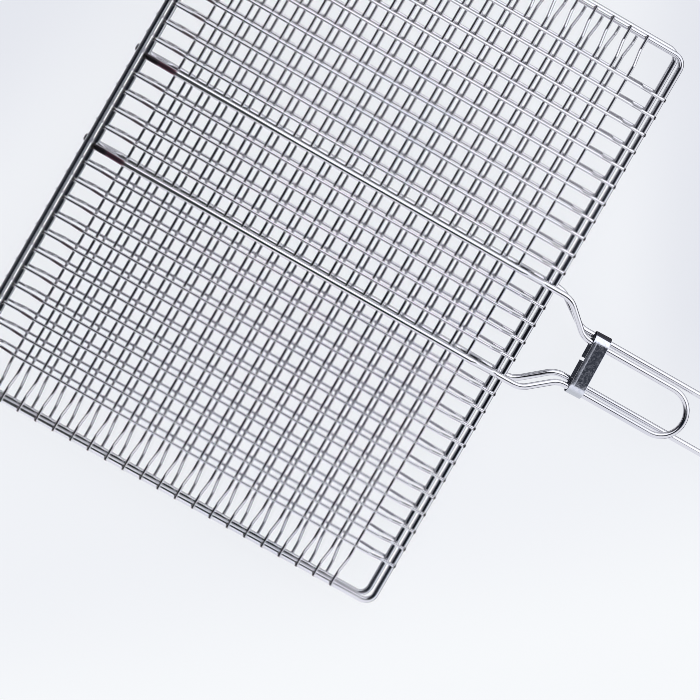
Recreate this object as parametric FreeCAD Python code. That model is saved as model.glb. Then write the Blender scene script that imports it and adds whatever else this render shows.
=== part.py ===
import FreeCAD, Part
import math
import os

# A double wire grill basket: two dished wire leaves, hinged at one end, that close
# round the food and are held shut by a sheet-metal sleeve pushed along the handles.
#
# Units are millimetres. The basket lies flat and closed on its lower leaf:
# +X runs from the hinge to the grip, +Y across the leaves, +Z up from the surface.
# The origin is on that surface, under the middle of the two leaves.
# "left" is the +Y side and "right" the -Y side.

# ---- stock -------------------------------------------------------------------
WIRE_DIA = 2.0          # mesh wires
RIM_DIA = 4.0           # rod round the edge of each leaf
HANDLE_DIA = 4.2        # rod of each handle
WELD_SINK = 0.1         # how far a wire sinks into the rod it is welded to

# ---- leaves ------------------------------------------------------------------
LEAF_LENGTH = 298.8     # between the rim's centre lines, along X
LEAF_WIDTH = 397.2      # between the rim's centre lines, along Y
RIM_CORNER = 7.0        # radius of the rim's centre line at its corners
CROSS_COUNT = 20        # wires that run across, along Y
CROSS_PITCH = 12.7
LONG_SLOTS = 28         # places for wires that run along X
LONG_PITCH = 12.6
HANDLE_SLOTS = (11, 16)     # slots filled by the handle's two rods
HANDLE_SPREAD = 32.4    # each handle rod's distance from the leaf's middle line

RIM_RISE = 3.6          # rim's centre above or below the closing plane
CROSS_RISE = 13.4       # the same for the cross wires, in the dished middle
TIP = 1.9               # how far a wire's end passes the rim's centre line

# Each wire leaves the rim flat, climbs to the dished level, and goes on level.
LONG_FLAT_HINGE = 12.0
LONG_CLIMB_HINGE = 8.4
LONG_FLAT_GRIP = 9.2
LONG_CLIMB_GRIP = 9.4
CROSS_FLAT = 9.0
CROSS_CLIMB = 9.8
HANDLE_FLAT_HINGE = 8.5
HANDLE_CLIMB_HINGE = 13.0
HANDLE_FLAT_GRIP = 7.6
HANDLE_CLIMB_GRIP = 14.6
WIRE_BEND = 4.0         # bend radius of a mesh wire's centre line
HANDLE_BEND = 9.0       # bend radius of a handle rod where it climbs

# The leaves don't sit exactly over each other: the hinge and the handles push
# the upper one towards the grip and to the right.
LEAF_SHIFT_X = 1.9
LEAF_SHIFT_Y = 0.95

# ---- handles -----------------------------------------------------------------
NECK_START = 162.3      # where the handle rods begin to close in, from the leaf's middle
NECK_END = 183.0        # where they become parallel
NECK_BEND = 14.0
GRIP_HALF = 15.9        # half the spacing of a handle's two parallel rods
GRIP_SHIFT_UPPER = -1.9     # the short handle's middle line, along Y
GRIP_SHIFT_LOWER = 2.6      # the long handle's middle line
GRIP_RISE = 2.25        # a grip rod's centre above or below the closing plane
ROD_TIP_UPPER = 1.9     # how far the short handle's cut ends pass the rim's centre line
ROD_TIP_LOWER = 2.4     # the same for the long handle's
SHORT_END = 267.0       # end of the short handle's centre line, from its leaf's middle
LONG_END = 468.0        # end of the long handle's centre line, from its leaf's middle

# ---- latch sleeve ------------------------------------------------------------
LATCH_X = 196.9         # middle of the sleeve when it locks the handles
LATCH_LENGTH = 10.5     # along X
LATCH_SHEET = 0.9
LATCH_GAP = 0.25        # clearance between the outermost rods and the sleeve's corners
LATCH_DEPTH = 11.8      # outside, along Z
LATCH_CORNER = 4.5      # outside bend radius of the sheet
SEAM_GAP = 2.2          # butt seam in the sleeve's lower wall
SEAM_Y = 1.5            # where that seam is

# ---- hinge clips -------------------------------------------------------------
CLIP_Y = 163.8          # each clip's distance from the middle, between two wires
CLIP_WIDTH = 7.0
CLIP_SHEET = 1.0
CLIP_CLEARANCE = 0.07   # radial, between a clip's eye and the rim that turns in it
CLIP_MOUTH = 70.0       # degrees of each eye left open where the strip was curled

# ---- worked out --------------------------------------------------------------
WIRE_R = WIRE_DIA / 2
RIM_R = RIM_DIA / 2
HANDLE_R = HANDLE_DIA / 2
HALF_LENGTH = LEAF_LENGTH / 2
HALF_WIDTH = LEAF_WIDTH / 2
WIRE_ON_RIM = RIM_RISE + RIM_R + WIRE_R - WELD_SINK
HANDLE_ON_RIM = RIM_RISE + RIM_R + HANDLE_R - WELD_SINK
LONG_RISE = CROSS_RISE + WIRE_DIA - WELD_SINK
HANDLE_RISE = CROSS_RISE + WIRE_R + HANDLE_R - WELD_SINK
CLOSING_PLANE = HANDLE_RISE + HANDLE_R      # height of the closing plane

UPPER = {
    "name": "upper",
    "side": 1,
    "grip": GRIP_SHIFT_UPPER,
    "end": SHORT_END,
    "rod_tip": ROD_TIP_UPPER,
}
LOWER = {
    "name": "lower",
    "side": -1,
    "grip": GRIP_SHIFT_LOWER,
    "end": LONG_END,
    "rod_tip": ROD_TIP_LOWER,
}

V = FreeCAD.Vector


def rounded_path(points, radii):
    """A wire through the points, with each inner corner rounded to its radius."""
    edges = []
    start = points[0]
    for i in range(1, len(points) - 1):
        corner = points[i]
        to_last = (points[i - 1] - corner).normalize()
        to_next = (points[i + 1] - corner).normalize()
        half_angle = to_last.getAngle(to_next) / 2
        reach = radii[i - 1] / math.tan(half_angle)
        depth = radii[i - 1] / math.sin(half_angle) - radii[i - 1]
        bisector = (to_last + to_next).normalize()
        enter = corner + to_last * reach
        leave = corner + to_next * reach
        edges.append(Part.LineSegment(start, enter).toShape())
        edges.append(Part.Arc(enter, corner + bisector * depth, leave).toShape())
        start = leave
    edges.append(Part.LineSegment(start, points[-1]).toShape())
    return Part.Wire(edges)


def rod(path, diameter):
    """A round rod along the path."""
    first = path.Edges[0]
    start = first.valueAt(first.FirstParameter)
    along = first.tangentAt(first.FirstParameter)
    circle = Part.Circle(start, along, diameter / 2).toShape()
    return path.makePipe(Part.Face(Part.Wire(circle)))


def placed(leaf, x, y, rise):
    """A point of a leaf, from the leaf's own middle and the closing plane."""
    side = leaf["side"]
    return V(x + side * LEAF_SHIFT_X, y - side * LEAF_SHIFT_Y, CLOSING_PLANE + side * rise)


def rim(leaf):
    """The closed rod round the edge of a leaf, from straights and quarter bends."""
    inner_x = HALF_LENGTH - RIM_CORNER
    inner_y = HALF_WIDTH - RIM_CORNER
    turn = RIM_CORNER * math.sqrt(0.5)
    edges = []
    for sx, sy in ((1, 1), (-1, 1), (-1, -1), (1, -1)):
        on_side = placed(leaf, sx * HALF_LENGTH, sy * inner_y, RIM_RISE)
        on_bend = placed(leaf, sx * (inner_x + turn), sy * (inner_y + turn), RIM_RISE)
        on_end = placed(leaf, sx * inner_x, sy * HALF_WIDTH, RIM_RISE)
        if sx == sy:
            edges.append(Part.Arc(on_side, on_bend, on_end).toShape())
            next_end = placed(leaf, -sx * inner_x, sy * HALF_WIDTH, RIM_RISE)
            edges.append(Part.LineSegment(on_end, next_end).toShape())
        else:
            edges.append(Part.Arc(on_end, on_bend, on_side).toShape())
            next_side = placed(leaf, sx * HALF_LENGTH, -sy * inner_y, RIM_RISE)
            edges.append(Part.LineSegment(on_side, next_side).toShape())
    pieces = []
    for edge in edges:
        pieces.append(rod(Part.Wire(edge), RIM_DIA))
    return pieces[0].multiFuse(pieces[1:]).removeSplitter()


def cross_wire(leaf, index):
    """One wire across a leaf: flat on the rim at both ends, dished between."""
    x = (index - (CROSS_COUNT - 1) / 2) * CROSS_PITCH
    end = HALF_WIDTH + TIP
    foot = HALF_WIDTH - CROSS_FLAT
    top = foot - CROSS_CLIMB
    points = []
    for y, rise in (
        (-end, WIRE_ON_RIM),
        (-foot, WIRE_ON_RIM),
        (-top, CROSS_RISE),
        (top, CROSS_RISE),
        (foot, WIRE_ON_RIM),
        (end, WIRE_ON_RIM),
    ):
        points.append(placed(leaf, x, y, rise))
    return rod(rounded_path(points, [WIRE_BEND] * 4), WIRE_DIA)


def long_wire(leaf, slot):
    """One wire along a leaf, outside the cross wires."""
    y = (slot - (LONG_SLOTS - 1) / 2) * LONG_PITCH
    hinge_foot = -HALF_LENGTH + LONG_FLAT_HINGE
    grip_foot = HALF_LENGTH - LONG_FLAT_GRIP
    points = []
    for x, rise in (
        (-HALF_LENGTH - TIP, WIRE_ON_RIM),
        (hinge_foot, WIRE_ON_RIM),
        (hinge_foot + LONG_CLIMB_HINGE, LONG_RISE),
        (grip_foot - LONG_CLIMB_GRIP, LONG_RISE),
        (grip_foot, WIRE_ON_RIM),
        (HALF_LENGTH + TIP, WIRE_ON_RIM),
    ):
        points.append(placed(leaf, x, y, rise))
    return rod(rounded_path(points, [WIRE_BEND] * 4), WIRE_DIA)


def handle(leaf):
    """One rod, bent round at the grip end, with its two arms welded along the leaf."""
    side = leaf["side"]
    grip_middle = leaf["grip"] + side * LEAF_SHIFT_Y     # seen from the leaf's middle
    hinge_foot = -HALF_LENGTH + HANDLE_FLAT_HINGE
    grip_foot = HALF_LENGTH - HANDLE_FLAT_GRIP
    arm = []
    for x, rise in (
        (-HALF_LENGTH - leaf["rod_tip"], HANDLE_ON_RIM),
        (hinge_foot, HANDLE_ON_RIM),
        (hinge_foot + HANDLE_CLIMB_HINGE, HANDLE_RISE),
        (grip_foot - HANDLE_CLIMB_GRIP, HANDLE_RISE),
        (grip_foot, HANDLE_ON_RIM),
        (NECK_START, HANDLE_ON_RIM),
    ):
        arm.append((x, HANDLE_SPREAD, rise))
    bend_start = leaf["end"] - GRIP_HALF
    right = []
    left = []
    for x, spread, rise in arm:
        right.append(placed(leaf, x, -spread, rise))
        left.append(placed(leaf, x, spread, rise))
    right.append(placed(leaf, NECK_END, grip_middle - GRIP_HALF, GRIP_RISE))
    right.append(placed(leaf, bend_start, grip_middle - GRIP_HALF, GRIP_RISE))
    left.append(placed(leaf, NECK_END, grip_middle + GRIP_HALF, GRIP_RISE))
    left.append(placed(leaf, bend_start, grip_middle + GRIP_HALF, GRIP_RISE))
    bends = [HANDLE_BEND] * 4 + [NECK_BEND] * 2
    right_edges = rounded_path(right, bends).Edges
    left_edges = rounded_path(left, bends).Edges
    tip = placed(leaf, leaf["end"], grip_middle, GRIP_RISE)
    turn = Part.Arc(right[-1], tip, left[-1]).toShape()
    return rod(Part.Wire(Part.__sortEdges__(right_edges + [turn] + left_edges)), HANDLE_DIA)


def rounded_bar(low, high, depth, corner, length, x):
    """A bar along X with a rounded rectangle for a section, from low to high along Y."""
    half = depth / 2
    bar = Part.makeBox(length, high - low, depth, V(x, low, CLOSING_PLANE - half))
    along = [edge for edge in bar.Edges if abs(edge.tangentAt(0).x) > 0.9]
    return bar.makeFillet(corner, along)


def latch_sleeve():
    """A strip of sheet wrapped round all four handle rods, open at its butt seam."""
    inner_corner = LATCH_CORNER - LATCH_SHEET
    inner_depth = LATCH_DEPTH - 2 * LATCH_SHEET
    # How far an outermost rod's centre may lie past the centre of the corner's bend.
    room = inner_corner - HANDLE_R - LATCH_GAP
    above = GRIP_RISE - (inner_depth / 2 - inner_corner)
    past = math.sqrt(room ** 2 - above ** 2)
    low = GRIP_SHIFT_UPPER - GRIP_HALF + past - inner_corner
    high = GRIP_SHIFT_LOWER + GRIP_HALF - past + inner_corner
    x = LATCH_X - LATCH_LENGTH / 2
    outside = rounded_bar(
        low - LATCH_SHEET, high + LATCH_SHEET, LATCH_DEPTH, LATCH_CORNER, LATCH_LENGTH, x
    )
    inside = rounded_bar(low, high, inner_depth, inner_corner, LATCH_LENGTH + 2, x - 1)
    seam = Part.makeBox(
        LATCH_LENGTH + 2,
        SEAM_GAP,
        LATCH_DEPTH / 2,
        V(x - 1, SEAM_Y - SEAM_GAP / 2, CLOSING_PLANE - LATCH_DEPTH / 2 - 1),
    )
    return outside.cut(inside).cut(seam)


def eye(centre, mouth_angle):
    """A curled eye round a rim, open by CLIP_MOUTH about the mouth angle."""
    inner = RIM_R + CLIP_CLEARANCE
    outer = inner + CLIP_SHEET
    base = V(centre.x, centre.y - CLIP_WIDTH / 2, centre.z)
    ring = Part.makeCylinder(outer, CLIP_WIDTH, base, V(0, 1, 0))
    ring = ring.cut(Part.makeCylinder(inner, CLIP_WIDTH, base, V(0, 1, 0)))
    reach = 2 * outer
    corners = [base]
    for angle in (mouth_angle - CLIP_MOUTH / 2, mouth_angle + CLIP_MOUTH / 2):
        turn = math.radians(angle)
        corners.append(base + V(reach * math.cos(turn), 0, reach * math.sin(turn)))
    mouth = Part.Face(Part.makePolygon(corners + [base])).extrude(V(0, CLIP_WIDTH, 0))
    return ring.cut(mouth)


def hinge_clip(y):
    """An S-shaped strip, curled one way round the lower rim and the other way round
    the upper rim, with a flat web between the two eyes."""
    lower = V(-HALF_LENGTH - LEAF_SHIFT_X, y, CLOSING_PLANE - RIM_RISE)
    upper = V(-HALF_LENGTH + LEAF_SHIFT_X, y, CLOSING_PLANE + RIM_RISE)
    between = upper - lower
    line_angle = math.degrees(math.atan2(between.z, between.x))
    mean_radius = RIM_R + CLIP_CLEARANCE + CLIP_SHEET / 2
    lean = math.degrees(math.asin(2 * mean_radius / between.Length))
    # The web touches both mean circles, on opposite sides of the line of centres.
    web_angle = math.radians(line_angle - lean)
    along = V(math.cos(web_angle), 0, math.sin(web_angle))
    normal = V(-math.sin(web_angle), 0, math.cos(web_angle))
    start = lower + normal * mean_radius
    end = upper - normal * mean_radius
    half = normal * (CLIP_SHEET / 2)
    first = start - half
    outline = [first, end - half, end + half, start + half, first]
    web = Part.Face(Part.makePolygon(outline)).extrude(V(0, CLIP_WIDTH, 0))
    web.translate(V(0, -CLIP_WIDTH / 2, 0))
    # Each eye runs from the web round its rim, and its mouth is just short of the web.
    web_side = math.degrees(math.atan2(normal.z, normal.x))
    lower_eye = eye(lower, web_side - CLIP_MOUTH / 2)
    upper_eye = eye(upper, web_side + 180 - CLIP_MOUTH / 2)
    return lower_eye.fuse(web).fuse(upper_eye).removeSplitter()


def save(name, solids):
    """Write one node, from one solid or several."""
    shape = solids[0] if len(solids) == 1 else Part.makeCompound(solids)
    valid = shape.isValid() and all(solid.Volume > 0 for solid in shape.Solids)
    print(f"{name}: {len(shape.Solids)} solid(s), {shape.Volume:.0f} mm3, valid {valid}")
    shape.exportStep(f"parts/{name}.step")


def leaf_wires(leaf):
    """The rim, the cross wires and the wires along one leaf."""
    name = leaf["name"]
    save(f"{name}_rim", [rim(leaf)])
    for index in range(CROSS_COUNT):
        save(f"{name}_cross_wire_{index + 1:02d}", [cross_wire(leaf, index)])
    first_rod, second_rod = HANDLE_SLOTS
    groups = {
        "right": range(0, first_rod),
        "middle": range(first_rod + 1, second_rod),
        "left": range(second_rod + 1, LONG_SLOTS),
    }
    for place, slots in groups.items():
        save(f"{name}_long_wires_{place}", [long_wire(leaf, slot) for slot in slots])


def main():
    os.makedirs("parts", exist_ok=True)
    leaf_wires(LOWER)
    leaf_wires(UPPER)
    save("long_handle", [handle(LOWER)])
    save("short_handle", [handle(UPPER)])
    save("latch_sleeve", [latch_sleeve()])
    save("hinge_clip_left", [hinge_clip(CLIP_Y)])
    save("hinge_clip_right", [hinge_clip(-CLIP_Y)])


main()
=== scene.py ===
from collections import namedtuple
import math

import bmesh
import bpy
from mathutils import Euler, Matrix, Vector

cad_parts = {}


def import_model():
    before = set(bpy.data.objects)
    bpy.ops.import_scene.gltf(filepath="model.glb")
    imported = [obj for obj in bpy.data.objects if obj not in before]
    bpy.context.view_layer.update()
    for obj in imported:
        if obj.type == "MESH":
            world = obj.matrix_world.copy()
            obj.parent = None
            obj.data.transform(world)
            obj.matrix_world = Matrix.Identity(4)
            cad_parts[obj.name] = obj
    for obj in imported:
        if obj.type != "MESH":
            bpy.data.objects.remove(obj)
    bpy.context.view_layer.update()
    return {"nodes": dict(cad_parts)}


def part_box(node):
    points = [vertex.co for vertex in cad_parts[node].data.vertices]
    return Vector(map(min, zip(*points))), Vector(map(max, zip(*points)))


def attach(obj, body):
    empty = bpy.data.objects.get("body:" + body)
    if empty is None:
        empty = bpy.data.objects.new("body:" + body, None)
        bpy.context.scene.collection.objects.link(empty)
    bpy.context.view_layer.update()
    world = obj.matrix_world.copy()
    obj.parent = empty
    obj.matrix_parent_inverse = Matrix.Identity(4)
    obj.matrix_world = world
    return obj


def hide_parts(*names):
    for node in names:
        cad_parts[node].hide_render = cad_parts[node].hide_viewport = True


MM = 0.001

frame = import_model()
scene = bpy.context.scene

# ---- camera ------------------------------------------------------------------
# A long lens above the basket, turned so that its long handle points down to the
# right of the picture.
CAMERA_PLACE = Vector((-675.62, 124.91, 3816.71)) * MM
CAMERA_TURN = (-7.9485, -8.0579, 30.3323)       # about X, Y and Z, in degrees
CAMERA_LENS = 316.0
CAMERA_SENSOR = 36.0
CAMERA_REACH = 50.0
PIXEL_FILTER = 0.75     # narrower than usual, for crisp wires

# ---- surroundings ------------------------------------------------------------
BACKDROP_MIDDLE = (0.912, 0.932, 0.965)
BACKDROP_PAINTED_SHADE = (0.81, 0.83, 0.885)         # painted shade at the picture's upper left and upper right
BACKDROP_PAINTED_LIGHT = (0.975, 0.995, 1.01)      # painted light along its bottom
# The floor's place in the middle of the picture, along the picture's right and down.
PICTURE_MIDDLE = (0.020, 0.088)
UNEVEN_WITHIN = 0.32    # the floor has painted shade and painted light up to this distance from that place
PLAIN_BEYOND = 0.62     # and is plain from here on
FLOOR_MATT = (0.9, 0.9, 0.92)
FLOOR_MATT_SHARE = 0.15     # the share of the floor that takes light and shadow

RIGHT_CARD = 0.90       # the pale card along the basket's right, at -Y
LEFT_CARD = 1.30        # the one along its left
GRIP_CARD = 0.90        # the one beyond its grip
ROOM_DARK = 0.02        # the room between the cards
ROOM_GREY = 0.26        # its lit part over the hinge side
DARK_TINT = (0.74, 0.80, 1.10)
PALE_TINT = (0.94, 0.95, 1.03)
RED_TINT = (1.0, 0.66, 0.74)

FLAG_RISE = 0.170       # a dark flag hangs this far above the closing plane
FLAG_X = (-0.60, 0.36)
FLAG_Y = (-0.45, 0.30)
FLAG_EDGE = 0.022       # half the width of its soft edge
FLAG_COLOUR = (0.009, 0.013, 0.024)

# ---- metals ------------------------------------------------------------------
# Scales are in pattern cells per metre.
CHROME = (0.83, 0.83, 0.845)
DULL_WIRE = (0.72, 0.73, 0.76)
DULL_RIM = (0.74, 0.75, 0.78)
DULL_ROD = (0.76, 0.77, 0.80)
PATCH_SCALE = 14.0
GRAIN_SCALE = 900.0
GRAIN_DEPTH = 0.12 * MM
# Painted dark reflections on the short handle's upper side, near the hinge.
PAINTED_BLACK_REFLECTION = (0.05, 0.045, 0.05)
PAINTED_RED_REFLECTION = (0.28, 0.14, 0.18)
PAINTED_BLACK_TO = -138.5 * MM     # the short handle's upper side has a painted black reflection up to here
PAINTED_RED_TO = -127.0 * MM       # and a painted dark red reflection up to here
ZINC_GREY = (0.74, 0.77, 0.84)
ZINC_PALE = (0.87, 0.89, 0.94)
ZINC_DULL = (0.60, 0.625, 0.645)
ZINC_DARK_BAND = (0.045, 0.045, 0.055)
CRYSTAL_SCALE = 800.0
SCRATCH_SCALE = 620.0
SCRATCH_DEPTH = 0.09 * MM
WELD_GREY = (0.34, 0.33, 0.35)
WELD_STRAW = (0.62, 0.60, 0.58)
WELD_SCALE = 300.0
SHEARED_STEEL = (0.035, 0.032, 0.032)
# Painted shade: the dark colour of the sleeve's inner skin.
SLEEVE_INSIDE_PAINTED_SHADE = (0.16, 0.17, 0.20)
STEEL_SCALE = 1500.0

# ---- the pieces made here ----------------------------------------------------
SIDES = 8               # of each small round shape
WELD_SINK = 0.1 * MM    # how far a wire is sunk into the rim that it is welded to
MESH_WELD = 1.45        # a weld's half width over the wire's radius, where wires cross
RIM_WELD = 1.5          # and on a rim
ROWS_PER_GROUP = {"right": 11, "middle": 4, "left": 11}     # long wires in each node
HANDLES = {"upper": "short_handle", "lower": "long_handle"}
# A weld bead's rings: height from the weld's middle in mm, and share of its half width.
WELD_RINGS = ((-0.38, 0.78), (0.0, 1.0), (0.38, 0.78))
# A cut end's rings: place out from the end in mm, and share of the radius.
HINGE_CAP = ((-2.1, 1.03), (-0.35, 1.16), (0.10, 0.86))
GRIP_CAP = ((-1.8, 1.03), (-0.35, 1.13), (0.10, 0.86))
SIDE_CAP = ((-0.45, 1.01), (-0.15, 1.05), (0.08, 0.86))
SLEEVE_SHEET = 0.4 * MM
SLEEVE_BEND_LEFT = 8.4 * MM             # how far the front left corner reaches along Y
SLEEVE_BEND_RIGHT = 6.6 * MM            # and the other three
SLEEVE_BEND_UP = 5.2 * MM               # how far each reaches along Z
SLEEVE_BEND_PARTS = 8
SLEEVE_WALL_PARTS = 6
SLEEVE_SEAM = 2.2 * MM
SLEEVE_SEAM_Y = 1.5 * MM
SLEEVE_TURN = math.radians(1.4)         # the sleeve sits a little askew on the rods
LIP_NOSE = 0.25 * MM                    # the rounded tip of the lip along its hinge edge
LIP_WIDTH = 2.3 * MM
LIP_HEIGHT = 0.33 * MM
LIP_STEP = 0.52 * MM                    # from the lip down to the flat of the front wall
GRIP_EDGE_WIDTH = 0.28 * MM             # the sleeve's other edge turns down a little
GRIP_EDGE_DROP = 0.12 * MM
DARK_BEND = 2.6 * MM                    # the darker outer part of the sleeve's left bend
DULL_BEND = 4.0 * MM                    # the greyer outer part of its right bend
SHARP_TURN = math.radians(38)           # a sharper turn than this is shaded as an edge

Tip = namedtuple("Tip", "place axis way radius cap")
camera_turn = Euler([math.radians(angle) for angle in CAMERA_TURN]).to_matrix()


def camera():
    data = bpy.data.cameras.new("camera")
    data.lens = CAMERA_LENS
    data.sensor_width = CAMERA_SENSOR
    data.clip_end = CAMERA_REACH
    cam = bpy.data.objects.new("camera", data)
    cam.matrix_world = Matrix.Translation(CAMERA_PLACE) @ camera_turn.to_4x4()
    scene.collection.objects.link(cam)
    scene.camera = cam


class Graph:
    """A short way to write shader node trees. Colours are given without their alpha."""

    def __init__(self, tree):
        self.tree = tree
        tree.nodes.clear()

    def add(self, kind, **settings):
        node = self.tree.nodes.new(kind)
        for name, value in settings.items():
            setattr(node, name, value)
        return node

    def put(self, value, socket):
        """Link a socket, or set a plain value."""
        if isinstance(value, bpy.types.NodeSocket):
            self.tree.links.new(value, socket)
        elif socket.type == "RGBA":
            socket.default_value = (*value, 1.0)
        else:
            socket.default_value = value

    def fill(self, values, sockets):
        for value, socket in zip(values, sockets):
            self.put(value, socket)

    def math(self, operation, *values):
        node = self.add("ShaderNodeMath", operation=operation)
        self.fill(values, node.inputs)
        return node.outputs[0]

    def step(self, value, low, high, from_value=0.0, to_value=1.0):
        """A smooth step from one value to another as value goes from low to high."""
        node = self.add("ShaderNodeMapRange", interpolation_type="SMOOTHSTEP")
        self.fill((value, low, high, from_value, to_value), node.inputs)
        return node.outputs[0]

    def mix(self, factor, first, second):
        """A number between two others."""
        node = self.add("ShaderNodeMix", data_type="FLOAT")
        self.fill((factor, first, second), (node.inputs[0], node.inputs[2], node.inputs[3]))
        return node.outputs[0]

    def mix_colour(self, factor, first, second):
        node = self.add("ShaderNodeMix", data_type="RGBA")
        self.fill((factor, first, second), (node.inputs[0], node.inputs[6], node.inputs[7]))
        return node.outputs[2]

    def axes(self, vector):
        """The X, Y and Z of a vector."""
        node = self.add("ShaderNodeSeparateXYZ")
        self.put(vector, node.inputs[0])
        return node.outputs

    def noise(self, where, scale, **settings):
        """Smooth noise, from 0 to 1."""
        node = self.add("ShaderNodeTexNoise")
        self.put(where, node.inputs["Vector"])
        self.put(scale, node.inputs["Scale"])
        for name, value in settings.items():
            self.put(value, node.inputs[name])
        return node.outputs["Fac"]

    def bump(self, height, strength, distance):
        node = self.add("ShaderNodeBump")
        self.put(strength, node.inputs["Strength"])
        self.put(distance, node.inputs["Distance"])
        self.put(height, node.inputs["Height"])
        return node.outputs[0]

    def shader(self, kind, **settings):
        """A shader with some of its inputs set or linked."""
        node = self.add(kind)
        for name, value in settings.items():
            self.put(value, node.inputs[name])
        return node.outputs[0]

    def mix_shaders(self, factor, first, second):
        node = self.add("ShaderNodeMixShader")
        self.fill((factor, first, second), node.inputs)
        return node.outputs[0]

    def show(self, shader, output="ShaderNodeOutputMaterial"):
        self.put(shader, self.add(output).inputs["Surface"])


def world():
    """Soft studio surroundings: a dark hinge side and pale cards on the other three."""
    made = bpy.data.worlds.new("studio")
    scene.world = made
    made.use_nodes = True
    g = Graph(made.node_tree)
    # The direction looked in: +X is past the grip, +Y to the left and +Z up.
    x, y, z = g.axes(g.add("ShaderNodeTexCoord").outputs["Generated"])
    # Over the hinge side the room is dark, then grey, and dark again at the horizon.
    hinge_side = g.step(z, 0.85, 0.35, ROOM_DARK, ROOM_GREY)
    hinge_side = g.mix(g.step(z, 0.32, 0.16), hinge_side, ROOM_DARK)
    hinge_side = g.math("MULTIPLY", hinge_side, g.step(x, 0.15, -0.15))
    grip_side = g.step(x, 0.22, 0.84, ROOM_DARK, GRIP_CARD)
    middle = g.math("MAXIMUM", hinge_side, grip_side)
    left = g.step(z, -0.25, 0.35, 0.50, LEFT_CARD)
    sides = g.mix(g.step(y, -0.2, 0.2), RIGHT_CARD, left)
    sides = g.math("MULTIPLY", sides, g.step(x, -0.72, -0.35, 0.07, 1.0))
    across = g.math("ABSOLUTE", g.math("SUBTRACT", y, 0.02))
    light = g.mix(g.step(across, 0.09, 0.24), middle, sides)
    # Below the horizon it is pale to the right, and pale and then darker downwards to the
    # left. It is dark past the grip, and dark and then pale downwards past the hinge.
    low = g.mix(g.step(y, 0.30, -0.30), g.step(z, -0.45, -0.80, 0.80, 0.12), RIGHT_CARD)
    low = g.mix(g.step(x, 0.45, 0.75), low, 0.03)
    low = g.mix(g.step(x, -0.25, -0.65), low, g.step(z, -0.25, -0.6, 0.04, 0.70))
    light = g.mix(g.step(z, -0.45, -0.15), low, light)
    # The dark strip at the hinge side's horizon is a deep red.
    red = g.math("MULTIPLY", g.step(z, 0.30, 0.16), g.step(z, -0.40, -0.25))
    red = g.math("MULTIPLY", red, g.step(x, -0.6, -0.9))
    tint = g.mix_colour(g.step(light, 0.0, 0.25), DARK_TINT, PALE_TINT)
    tint = g.mix_colour(red, tint, RED_TINT)
    reflected = g.shader("ShaderNodeBackground", Color=tint, Strength=light)
    plain = g.shader("ShaderNodeBackground", Color=BACKDROP_MIDDLE)
    in_view = g.add("ShaderNodeLightPath").outputs["Is Camera Ray"]
    g.show(g.mix_shaders(in_view, reflected, plain), "ShaderNodeOutputWorld")


def sheet(name, x_range, y_range, z):
    """A flat rectangle that isn't part of the object, and its empty material's graph."""
    mesh = bpy.data.meshes.new(name)
    (x0, x1), (y0, y1) = x_range, y_range
    mesh.from_pydata([(x0, y0, z), (x1, y0, z), (x1, y1, z), (x0, y1, z)], [], [(0, 1, 2, 3)])
    made = bpy.data.objects.new(name, mesh)
    scene.collection.objects.link(made)
    material = bpy.data.materials.new(name)
    material.use_nodes = True
    mesh.materials.append(material)
    return made, Graph(material.node_tree)


def floor():
    """A pale sweep with painted shade and painted light round the basket, and plain further away.
    """
    made, g = sheet("floor", (-12.0, 12.0), (-12.0, 12.0), 0.0)
    x, y, _ = g.axes(g.add("ShaderNodeNewGeometry").outputs["Position"])
    right_x, right_y, _ = camera_turn.col[0]
    down_x, down_y, _ = -camera_turn.col[1]
    right = g.math("MULTIPLY_ADD", y, right_y, -PICTURE_MIDDLE[0])
    right = g.math("MULTIPLY_ADD", x, right_x, right)
    down = g.math("MULTIPLY_ADD", y, down_y, -PICTURE_MIDDLE[1])
    down = g.math("MULTIPLY_ADD", x, down_x, down)
    distance = g.math("SQRT", g.math("MULTIPLY_ADD", down, down, g.math("MULTIPLY", right, right)))
    near = g.step(distance, PLAIN_BEYOND, UNEVEN_WITHIN)
    # Painted shade at the upper left and along the right edge, and painted light along the bottom.
    upper_left = g.step(g.math("ADD", down, right), -0.30, -0.43)
    right_edge = g.math("MULTIPLY", g.step(right, 0.165, 0.225), g.step(down, 0.09, -0.03))
    dark = g.math("MULTIPLY", g.math("MAXIMUM", upper_left, right_edge), near)
    colour = g.mix_colour(dark, BACKDROP_MIDDLE, BACKDROP_PAINTED_SHADE)
    lower = g.math("MULTIPLY_ADD", right, 0.18, down)
    painted_light = g.math("MULTIPLY", g.step(lower, 0.10, 0.22), near)
    colour = g.mix_colour(painted_light, colour, BACKDROP_PAINTED_LIGHT)
    glow = g.shader("ShaderNodeEmission", Color=colour)
    matt = g.shader("ShaderNodeBsdfDiffuse", Color=FLOOR_MATT)
    g.show(g.mix_shaders(FLOOR_MATT_SHARE, glow, matt))
    made.visible_glossy = False


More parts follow.
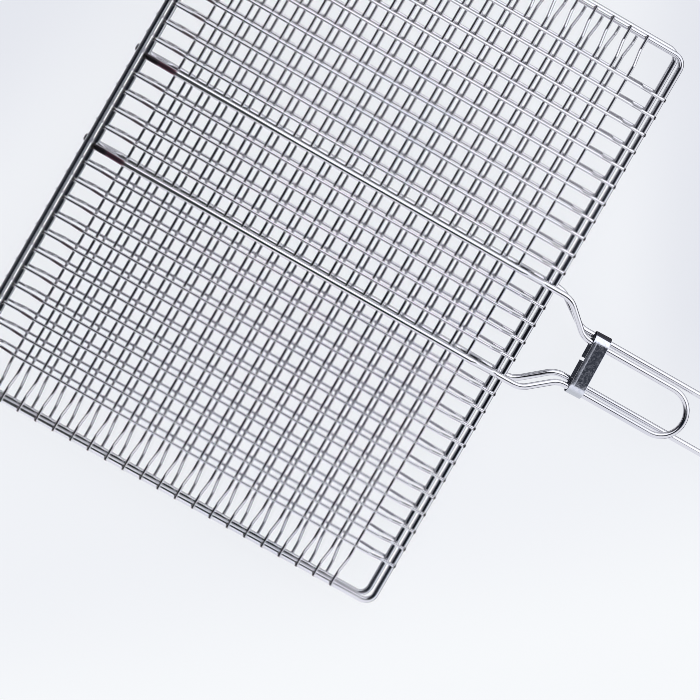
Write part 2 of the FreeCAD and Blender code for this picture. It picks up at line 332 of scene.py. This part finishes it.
def flag():
    """A soft-edged dark flag above the basket, which only reflections see."""
    closing_plane = (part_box("upper_rim")[0][2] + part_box("lower_rim")[1][2]) / 2
    made, g = sheet("flag", FLAG_X, FLAG_Y, closing_plane + FLAG_RISE)
    x, y, _ = g.axes(g.add("ShaderNodeNewGeometry").outputs["Position"])
    # It narrows towards the grip, and its narrow end lies further to the left.
    middle = g.step(x, 0.15, 0.25, -0.08, 0.02)
    half = g.math("ADD", g.step(x, 0.07, 0.20, 0.11, 0.052), g.step(x, 0.02, -0.10, 0.0, 0.13))
    past = g.math("SUBTRACT", g.math("ABSOLUTE", g.math("SUBTRACT", y, middle)), half)
    cover = g.math("MULTIPLY", g.step(x, 0.34, 0.26), g.step(x, -0.32, -0.17, 0.45, 0.92))
    cover = g.math("MULTIPLY", cover, g.step(past, FLAG_EDGE, -FLAG_EDGE))
    # Towards the grip it is a very dark blue, and elsewhere almost black.
    strength = g.step(x, 0.195, 0.225, 0.2, 1.0)
    clear = g.shader("ShaderNodeBsdfTransparent")
    dark = g.shader("ShaderNodeEmission", Color=FLAG_COLOUR, Strength=strength)
    g.show(g.mix_shaders(cover, clear, dark))
    made.visible_camera = False
    made.visible_diffuse = False
    made.visible_shadow = False
    made.visible_transmission = False


def metal(name, metallic=1.0):
    """A new metal: its material, its graph, its shader and the place on the piece."""
    material = bpy.data.materials.new(name)
    material.use_nodes = True
    g = Graph(material.node_tree)
    surface = g.add("ShaderNodeBsdfPrincipled")
    g.put(metallic, surface.inputs["Metallic"])
    g.show(surface.outputs[0])
    where = g.add("ShaderNodeTexCoord").outputs["Object"]
    return material, g, surface, where


def chrome(name, roughness, dull, painted_reflection=False):
    """Bright plating over drawn wire, finely grained and with patches of a duller tint.

    A rod given painted reflection has a painted black and dark red reflection on its upper side,
    towards the hinge edge."""
    material, g, surface, where = metal(name)
    patch = g.noise(where, PATCH_SCALE, Detail=3.0)
    grain = g.noise(where, GRAIN_SCALE, Detail=2.0)
    colour = g.mix_colour(g.step(patch, 0.52, 0.72), CHROME, dull)
    rough = g.math("MULTIPLY_ADD", grain, 0.05, roughness)
    if painted_reflection:
        # Painted reflection: only the rod's upper side gets the painted black and dark red, and
        # the grain frays their ends.
        along = g.math("MULTIPLY_ADD", grain, 1.5 * MM, g.axes(where)[0])
        up = g.axes(g.add("ShaderNodeTexCoord").outputs["Normal"])[2]
        red = g.step(along, PAINTED_RED_TO + 2.0 * MM, PAINTED_RED_TO - 1.0 * MM)
        red = g.math("MULTIPLY", red, g.step(up, 0.48, 0.62))
        black = g.step(along, PAINTED_BLACK_TO + 1.0 * MM, PAINTED_BLACK_TO)
        black = g.math("MULTIPLY", black, g.step(up, 0.58, 0.74))
        colour = g.mix_colour(red, colour, PAINTED_RED_REFLECTION)
        colour = g.mix_colour(black, colour, PAINTED_BLACK_REFLECTION)
        rough = g.math("MULTIPLY_ADD", red, 0.16, rough)
    g.put(colour, surface.inputs["Base Color"])
    g.put(rough, surface.inputs["Roughness"])
    g.put(g.bump(grain, 0.12, GRAIN_DEPTH), surface.inputs["Normal"])
    return material


def galvanised(name, ends=None):
    """Bright zinc-coated sheet, mottled with small crystals and finely scratched.

    Given the places of its two ends along Y, it is greyer at the right one and
    dark at the left one."""
    material, g, surface, where = metal(name, metallic=0.965)
    cells = g.add("ShaderNodeTexVoronoi")
    g.put(where, cells.inputs["Vector"])
    g.put(CRYSTAL_SCALE, cells.inputs["Scale"])
    crystals = g.add("ShaderNodeSeparateColor")
    g.put(cells.outputs["Color"], crystals.inputs[0])
    colour = g.mix_colour(crystals.outputs[0], ZINC_GREY, ZINC_PALE)
    if ends is not None:
        y = g.axes(where)[1]
        dull_from = ends[0] + DULL_BEND
        dull = g.step(y, dull_from + 1.0 * MM, dull_from - 2.0 * MM)
        colour = g.mix_colour(dull, colour, ZINC_DULL)
        dark_band_from = ends[1] - DARK_BEND
        dark_band = g.step(y, dark_band_from - 0.15 * MM, dark_band_from + 0.25 * MM)
        colour = g.mix_colour(dark_band, colour, ZINC_DARK_BAND)
    scratches = g.noise(where, SCRATCH_SCALE, Detail=7.0, Roughness=0.62)
    g.put(colour, surface.inputs["Base Color"])
    g.put(g.mix(crystals.outputs[1], 0.09, 0.22), surface.inputs["Roughness"])
    g.put(g.bump(scratches, 0.60, SCRATCH_DEPTH), surface.inputs["Normal"])
    return material


def weld_metal(name):
    """The duller, straw to grey metal of a resistance weld under its plating."""
    material, g, surface, where = metal(name)
    cloud = g.noise(where, WELD_SCALE)
    colour = g.mix_colour(g.step(cloud, 0.38, 0.62), WELD_GREY, WELD_STRAW)
    g.put(colour, surface.inputs["Base Color"])
    g.put(g.mix(cloud, 0.10, 0.34), surface.inputs["Roughness"])
    return material


def steel_and_painted_shade(name, shade):
    """Dark steel with a grainy face, from half its shade to one and a half times it. As the
    sleeve's inner skin it is painted shade.
    """
    material, g, surface, where = metal(name)
    grain = g.noise(where, STEEL_SCALE)
    deep = [level * 0.5 for level in shade]
    pale = [level * 1.5 for level in shade]
    g.put(g.mix_colour(grain, deep, pale), surface.inputs["Base Color"])
    g.put(g.mix(grain, 0.35, 0.6), surface.inputs["Roughness"])
    return material


def dress(zinc):
    """Give every node carried over from the frame its material."""
    wires = chrome("chrome_wire", 0.02, DULL_WIRE)
    rims = chrome("chrome_rim", 0.01, DULL_RIM)
    rods = chrome("chrome_rod", 0.01, DULL_ROD)
    # The short handle's chrome, with painted dark reflections near the hinge.
    painted_reflection = chrome("chrome_rod_painted_reflection", 0.01, DULL_ROD, painted_reflection=True)
    for name, node in frame["nodes"].items():
        if name == "latch_sleeve" or name.startswith("hinge_clip"):
            material = zinc
        elif name.endswith("rim"):
            material = rims
        elif name == "short_handle":
            material = painted_reflection
        elif name.endswith("handle"):
            material = rods
        else:
            material = wires
        node.data.materials.clear()
        node.data.materials.append(material)


def piece(name, points, faces, material):
    """A smooth-shaded mesh piece whose sharp turns stay sharp."""
    mesh = bpy.data.meshes.new(name)
    mesh.from_pydata(points, [], faces)
    mesh.polygons.foreach_set("use_smooth", [True] * len(mesh.polygons))
    shape = bmesh.new()
    shape.from_mesh(mesh)
    bmesh.ops.recalc_face_normals(shape, faces=shape.faces)
    shape.to_mesh(mesh)
    shape.free()
    mesh.set_sharp_from_angle(angle=SHARP_TURN)
    mesh.materials.append(material)
    made = bpy.data.objects.new(name, mesh)
    scene.collection.objects.link(made)
    return made


# ---- where the wires, rods and welds are, from the frame ---------------------
def flat_run(node, axis, outward):
    """The stretch along axis where a dished wire lies at its full height."""
    points = [vertex.co for vertex in node.data.vertices]
    top = max(point.z * outward for point in points)
    run = [point[axis] for point in points if point.z * outward > top - 0.1 * MM]
    return min(run), max(run)


def wire_radius(leaf):
    low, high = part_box(leaf + "_cross_wire_01")
    return (high[0] - low[0]) / 2


def outer_level(node, outward):
    """The height of a node's outward side."""
    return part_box(node)[1 if outward > 0 else 0][2]


def long_wires(leaf):
    """Each long wire of a leaf: its place along Y and its two ends along X."""
    wire = wire_radius(leaf)
    found = []
    for group, count in ROWS_PER_GROUP.items():
        low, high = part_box(leaf + "_long_wires_" + group)
        for index in range(count):
            y = low[1] + wire + (high[1] - low[1] - 2 * wire) * index / (count - 1)
            found.append((y, low[0], high[0]))
    return found


def cross_wires(leaf):
    """Each cross wire of a leaf: its place along X and its two ends along Y."""
    found = []
    for name in sorted(frame["nodes"]):
        if name.startswith(leaf + "_cross_wire"):
            low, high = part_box(name)
            found.append(((low[0] + high[0]) / 2, low[1], high[1]))
    return found


def weld_spots(leaf, outward):
    """Where the leaf's wires and rods are welded: place and half width of each weld."""
    wire = wire_radius(leaf)
    mesh_level = outer_level(leaf + "_cross_wire_01", outward)
    rim_level = outer_level(leaf + "_rim", outward)
    low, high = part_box(leaf + "_rim")
    rim = (high[2] - low[2]) / 2
    flat_x = flat_run(frame["nodes"][leaf + "_long_wires_middle"], 0, outward)
    flat_y = flat_run(frame["nodes"][leaf + "_cross_wire_01"], 1, outward)
    rows = [y for y, _, _ in long_wires(leaf)]
    columns = [x for x, _, _ in cross_wires(leaf)]
    spots = []
    for y in rows:
        for x in columns:
            if flat_x[0] < x < flat_x[1] and flat_y[0] < y < flat_y[1]:
                spots.append((x, y, mesh_level, MESH_WELD * wire))
        for x in (low[0] + rim, high[0] - rim):
            spots.append((x, y, rim_level, RIM_WELD * wire))
    for x in columns:
        for y in (low[1] + rim, high[1] - rim):
            spots.append((x, y, rim_level, RIM_WELD * wire))
    return spots


def rod_tips(handle):
    """A handle rod's two cut ends."""
    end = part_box(handle)[0][0]
    points = [vertex.co for vertex in frame["nodes"][handle].data.vertices]
    face_points = [point for point in points if point.x < end + 0.01 * MM]
    tips = []
    for side in (-1, 1):
        across = [point.y for point in face_points if point.y * side > 0]
        up = [point.z for point in face_points if point.y * side > 0]
        place = (end, (min(across) + max(across)) / 2, (min(up) + max(up)) / 2)
        tips.append(Tip(place, 0, -1, (max(across) - min(across)) / 2, HINGE_CAP))
    return tips


def cut_tips(leaf, outward):
    """A leaf's cut ends: the place, axis and way that each one faces, its radius and cap."""
    wire = wire_radius(leaf)
    level = outer_level(leaf + "_rim", outward) + outward * (wire - WELD_SINK)
    tips = rod_tips(HANDLES[leaf])
    for y, low, high in long_wires(leaf):
        tips.append(Tip((low, y, level), 0, -1, wire, HINGE_CAP))
        tips.append(Tip((high, y, level), 0, 1, wire, GRIP_CAP))
    for x, low, high in cross_wires(leaf):
        tips.append(Tip((x, low, level), 1, -1, wire, SIDE_CAP))
        tips.append(Tip((x, high, level), 1, 1, wire, SIDE_CAP))
    return tips


# ---- welds and cut ends ------------------------------------------------------
def circle(radius):
    """The corners of a small round shape."""
    angles = [math.tau * (corner + 0.5) / SIDES for corner in range(SIDES)]
    return [(radius * math.cos(angle), radius * math.sin(angle)) for angle in angles]


def round_faces(start, rings, both_ends=False):
    """The faces of a round shape whose rings of points begin with point start.

    Its last ring is closed, and the first one too where both_ends is given."""
    faces = []
    for ring in range(rings - 1):
        for corner in range(SIDES):
            a = start + ring * SIDES + corner
            b = start + ring * SIDES + (corner + 1) % SIDES
            faces.append((a, b, b + SIDES, a + SIDES))
    if both_ends:
        faces.append([start + corner for corner in reversed(range(SIDES))])
    last = start + (rings - 1) * SIDES
    faces.append([last + corner for corner in range(SIDES)])
    return faces


def cut_ends(leaf, outward, material):
    """The sheared, unplated ends of a leaf's wires and rod, each a slightly burred cap."""
    points = []
    faces = []
    for tip in cut_tips(leaf, outward):
        faces += round_faces(len(points), len(tip.cap))
        for out, width in tip.cap:
            for across, up in circle(tip.radius * width):
                point = list(tip.place)
                point[tip.axis] += tip.way * out * MM
                point[1 - tip.axis] += across
                point[2] += up
                points.append(point)
    made = piece(leaf + "_cut_ends", points, faces, material)
    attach(made, leaf + "_leaf")


def welds(leaf, outward, material):
    """A small flattened bead squeezed out round each weld of a leaf."""
    points = []
    faces = []
    for x, y, z, half in weld_spots(leaf, outward):
        faces += round_faces(len(points), len(WELD_RINGS), both_ends=True)
        for rise, width in WELD_RINGS:
            for east, north in circle(half * width):
                points.append((x + east, y + north, z + rise * MM))
    made = piece(leaf + "_welds", points, faces, material)
    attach(made, leaf + "_leaf")


# ---- the latch sleeve --------------------------------------------------------
def sleeve_section(half_y, half_z):
    """The sleeve's outer outline from one side of its seam round to the other.

    Each entry is a place and the outward direction there, about the sleeve's middle."""
    bend_z = SLEEVE_BEND_UP
    outline = [(SLEEVE_SEAM_Y + SLEEVE_SEAM / 2, -half_z, 0.0, -1.0)]
    for turn_y, turn_z, start in ((1, -1, -90), (1, 1, 0), (-1, 1, 90), (-1, -1, 180)):
        front_left = (turn_y, turn_z) == (1, 1)
        bend_y = SLEEVE_BEND_LEFT if front_left else SLEEVE_BEND_RIGHT
        for part in range(SLEEVE_BEND_PARTS + 1):
            angle = math.radians(start + 90 * part / SLEEVE_BEND_PARTS)
            along = math.cos(angle)
            up = math.sin(angle)
            y = turn_y * (half_y - bend_y) + bend_y * along
            z = turn_z * (half_z - bend_z) + bend_z * up
            outline.append((y, z, along, up))
        if front_left:
            # The front wall is split, so that its shading stays even.
            wall = 2 * half_y - SLEEVE_BEND_LEFT - SLEEVE_BEND_RIGHT
            for part in range(1, SLEEVE_WALL_PARTS):
                y = half_y - bend_y - wall * part / SLEEVE_WALL_PARTS
                outline.append((y, half_z, 0.0, 1.0))
    outline.append((SLEEVE_SEAM_Y - SLEEVE_SEAM / 2, -half_z, 0.0, -1.0))
    return outline


def sleeve_stations(length):
    """Distances from the sleeve's hinge edge, and how far its front stands out at each.

    An extra row close beside each turn keeps the flat of the wall flat."""
    flat = LIP_WIDTH + LIP_STEP
    grip_edge = length - GRIP_EDGE_WIDTH
    return (
        (0.0, LIP_HEIGHT * 0.8),
        (LIP_NOSE, LIP_HEIGHT),
        (LIP_WIDTH * 0.5, LIP_HEIGHT * 0.79),
        (LIP_WIDTH, LIP_HEIGHT * 0.52),
        (flat, 0.0),
        (flat + 0.08 * MM, 0.0),
        (grip_edge - 0.06 * MM, 0.0),
        (grip_edge, 0.0),
        (length, -GRIP_EDGE_DROP),
    )


def shell_faces(rows, count):
    """The faces of an open shell: its outer skin, its inner one and the edges between.

    Each skin has rows of count points, and the outer skin's points come first."""
    skin = rows * count
    faces = []
    for row in range(rows - 1):
        for step in range(count - 1):
            a = row * count + step
            b = a + skin
            faces.append((a, a + 1, a + 1 + count, a + count))
            faces.append((b, b + count, b + count + 1, b + 1))
        for edge in (0, count - 1):
            a = row * count + edge
            b = a + skin
            faces.append((a, a + count, b + count, b))
    for row in (0, rows - 1):
        for step in range(count - 1):
            a = row * count + step
            b = a + skin
            faces.append((a, b, b + 1, a + 1))
    return faces


def latch(painted_shade_inside):
    """The sleeve: bent sheet with a pressed lip along its hinge edge, darker ends, and painted
    shade on its inner skin.
    """
    low, high = (Vector(corner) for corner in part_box("latch_sleeve"))
    material = galvanised("galvanised_sleeve", (low.y, high.y))
    half = (high - low) / 2
    outline = sleeve_section(half.y, half.z)
    stations = sleeve_stations(2 * half.x)
    place = Matrix.Translation((low + high) / 2) @ Matrix.Rotation(SLEEVE_TURN, 4, "Z")
    points = []
    for depth in (0.0, SLEEVE_SHEET):
        for along, rise in stations:
            for y, z, out_y, out_z in outline:
                lift = rise * max(out_z, 0.0) ** 2 - depth
                points.append(place @ Vector((along - half.x, y + out_y * lift, z + out_z * lift)))
    made = piece("sleeve", points, shell_faces(len(stations), len(outline)), material)
    # The inner skin takes the painted shade material.
    made.data.materials.append(painted_shade_inside)
    inner_from = len(points) // 2
    for face in made.data.polygons:
        if min(face.vertices) >= inner_from:
            face.material_index = 1
    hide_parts("latch_sleeve")
    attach(made, "latch")


scene.view_settings.view_transform = "Standard"
scene.cycles.filter_width = PIXEL_FILTER
camera()
world()
floor()
flag()
zinc = galvanised("galvanised")
weld = weld_metal("weld")
dress(zinc)
steel = steel_and_painted_shade("sheared_steel", SHEARED_STEEL)
for leaf, outward in (("upper", 1), ("lower", -1)):
    welds(leaf, outward, weld)
    cut_ends(leaf, outward, steel)
# The sleeve's inner skin is painted dark, as shade.
latch(steel_and_painted_shade("sleeve_inside_painted_shade", SLEEVE_INSIDE_PAINTED_SHADE))
